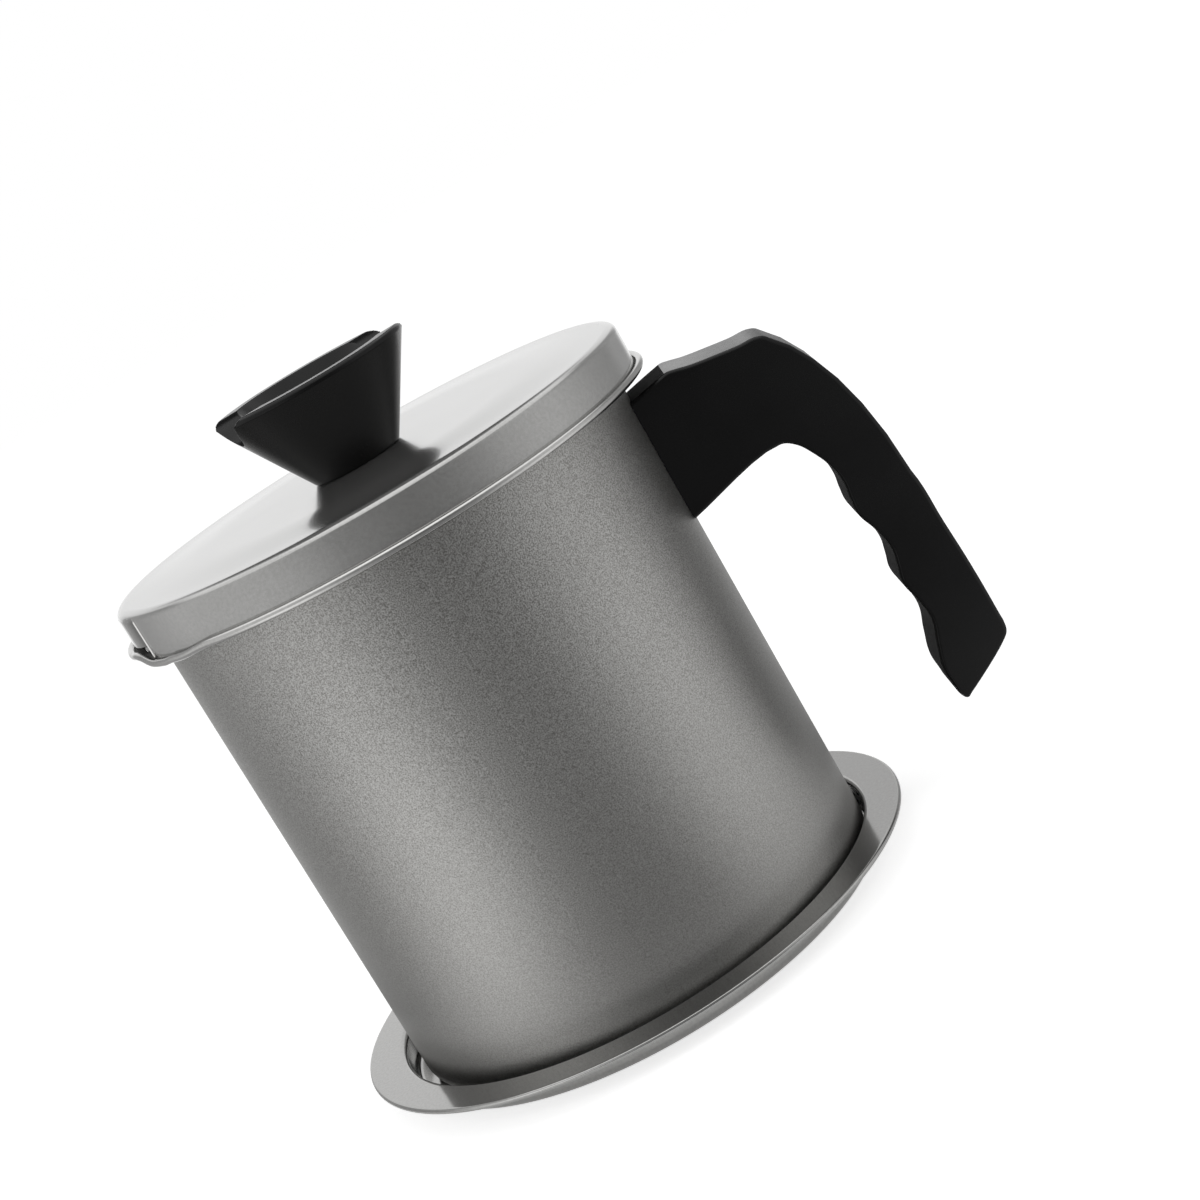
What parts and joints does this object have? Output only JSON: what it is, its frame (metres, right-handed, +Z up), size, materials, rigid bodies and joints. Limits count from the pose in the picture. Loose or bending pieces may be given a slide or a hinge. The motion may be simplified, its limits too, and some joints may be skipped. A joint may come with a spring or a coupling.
{
  "type": "bacon grease container",
  "caption": "Round lidded steel pot for cooking fat with a pouring spout, side handle with finger grooves, lift-out strainer, flared lid knob and a drip tray.",
  "frame": {"origin": "on the pot's axis, in the plane of the tray's underside", "axes": "+Z up, +X from the pot's axis towards the handle, the spout on -X, +Y away from the side that the picture shows"},
  "size_m": [0.1703, 0.134, 0.1475],
  "materials": {
    "pot_coating": "satin, fine metallic grain",
    "lid_coating": "glossy metallic",
    "tray_coating": "glossy metallic",
    "stainless": "satin",
    "zinc_steel": "satin",
    "black_moulding": "satin",
    "brass": "turned",
    "silicone": "matte"
  },
  "bodies": {
    "tray": {"drip_tray": "tray_coating"},
    "pot": {"pot_body": "pot_coating", "handle_bracket": "zinc_steel", "handle_nut": "zinc_steel", "handle_grip": "black_moulding", "handle_screw": "zinc_steel", "handle_washer": "zinc_steel"},
    "strainer": {"strainer_frame": "stainless", "strainer_mesh": "stainless", "strainer_hoop": "stainless"},
    "lid": {"lid_shell": "lid_coating", "lid_knob": "black_moulding", "knob_insert": "brass", "knob_screw": "zinc_steel", "knob_washer": "zinc_steel", "knob_seal": "silicone"}
  },
  "joints": [
    {"name": "pot_lift", "type": "slide", "parent": "tray", "child": "pot", "axis": [0, 0, 1], "range_m": [0, 0.05]},
    {"name": "strainer_lift", "type": "slide", "parent": "pot", "child": "strainer", "axis": [0, 0, 1], "range_m": [0, 0.06]},
    {"name": "lid_lift", "type": "slide", "parent": "strainer", "child": "lid", "axis": [0, 0, 1], "range_m": [0, 0.06]}
  ]
}
